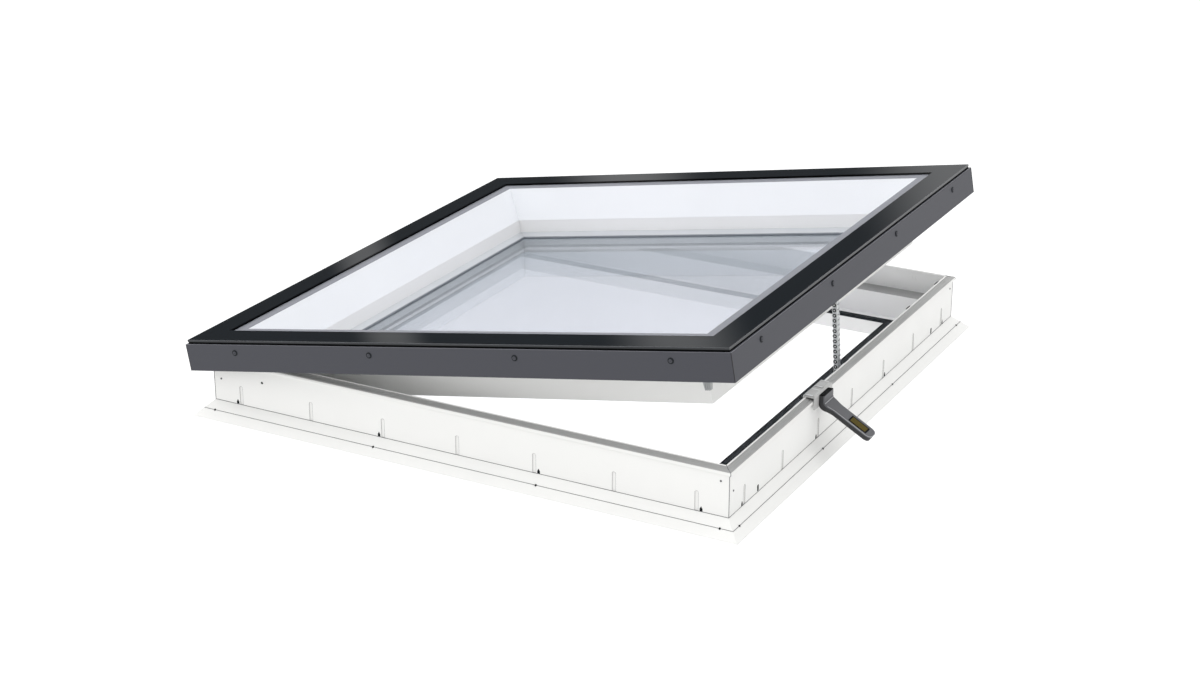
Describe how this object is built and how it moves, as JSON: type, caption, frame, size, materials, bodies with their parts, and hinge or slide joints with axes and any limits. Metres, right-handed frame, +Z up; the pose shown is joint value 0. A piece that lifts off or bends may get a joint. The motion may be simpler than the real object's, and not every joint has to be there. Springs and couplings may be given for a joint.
{
  "type": "flat roof skylight",
  "caption": "Square flat-roof window: hollow plastic base with a fixing flange, and a hinged double-glazed sash under a flat cover glass, opened by a chain actuator, with a rain sensor.",
  "frame": {"origin": "centre of the clear opening, on the plane of the roof deck under the fixing flange", "axes": "+X from the hinge side to the opening side, +Z up from the roof deck, +Y from the front side to the back"},
  "size_m": [1.5177, 1.428, 0.4376],
  "materials": {
    "white_plastic": "satin extruded plastic",
    "foam": "rigid foam, matt",
    "black_rubber": "matt",
    "grey_coated_metal": "matt powder coat",
    "stainless_steel": "plain",
    "zinc_steel": "zinc plated",
    "bare_aluminium": "mill finish",
    "dark_plastic": "fine texture",
    "grey_plastic": "satin",
    "black_gloss": "gloss",
    "sensing_film": "thin gold film",
    "clear_glass": "clear, polished"
  },
  "bodies": {
    "base": {"base_rail_front": "white_plastic", "base_rail_opening": "white_plastic", "base_rail_back": "white_plastic", "base_rail_hinge": "white_plastic", "insulation_front": "foam", "insulation_opening": "foam", "insulation_back": "foam", "insulation_hinge": "foam", "base_gasket": "black_rubber", "corner_pins": "dark_plastic", "hinge_leaf_front": "zinc_steel", "hinge_leaf_back": "zinc_steel", "hinge_pin_front": "stainless_steel", "hinge_pin_back": "stainless_steel", "actuator_housing": "bare_aluminium", "actuator_end_caps": "dark_plastic", "actuator_motor": "zinc_steel", "chain_drive": "zinc_steel", "chain_guide": "dark_plastic", "chain": "zinc_steel", "sensor_saddle": "white_plastic", "sensor_arm": "dark_plastic", "sensor_window": "black_gloss", "sensor_patch": "sensing_film"},
    "sash": {"top_glass": "clear_glass", "glass_seal": "black_rubber", "glass_tape": "black_rubber", "skirt_front": "grey_coated_metal", "skirt_opening": "grey_coated_metal", "skirt_back": "grey_coated_metal", "skirt_hinge": "grey_coated_metal", "skirt_screws": "grey_coated_metal", "screw_washers": "black_rubber", "cover_frame_front": "white_plastic", "cover_frame_opening": "white_plastic", "cover_frame_back": "white_plastic", "cover_frame_hinge": "white_plastic", "sash_rail_front": "white_plastic", "sash_rail_opening": "white_plastic", "sash_rail_back": "white_plastic", "sash_rail_hinge": "white_plastic", "glazing_beads": "white_plastic", "bead_gasket": "black_rubber", "lip_gasket": "black_rubber", "igu_outer_pane": "clear_glass", "igu_spacer": "bare_aluminium", "igu_sealant": "black_rubber", "igu_inner_pane": "clear_glass", "sash_leaf_front": "zinc_steel", "sash_leaf_back": "zinc_steel", "chain_bracket": "zinc_steel", "chain_pin": "stainless_steel", "corner_guides": "grey_plastic"}
  },
  "joints": [
    {"name": "sash_opening", "type": "hinge", "parent": "base", "child": "sash", "pos_m": [-0.603, 0, 0.1672], "axis": [0, -1, 0], "range_deg": [-10.06, 0], "deforming": ["chain"]}
  ]
}
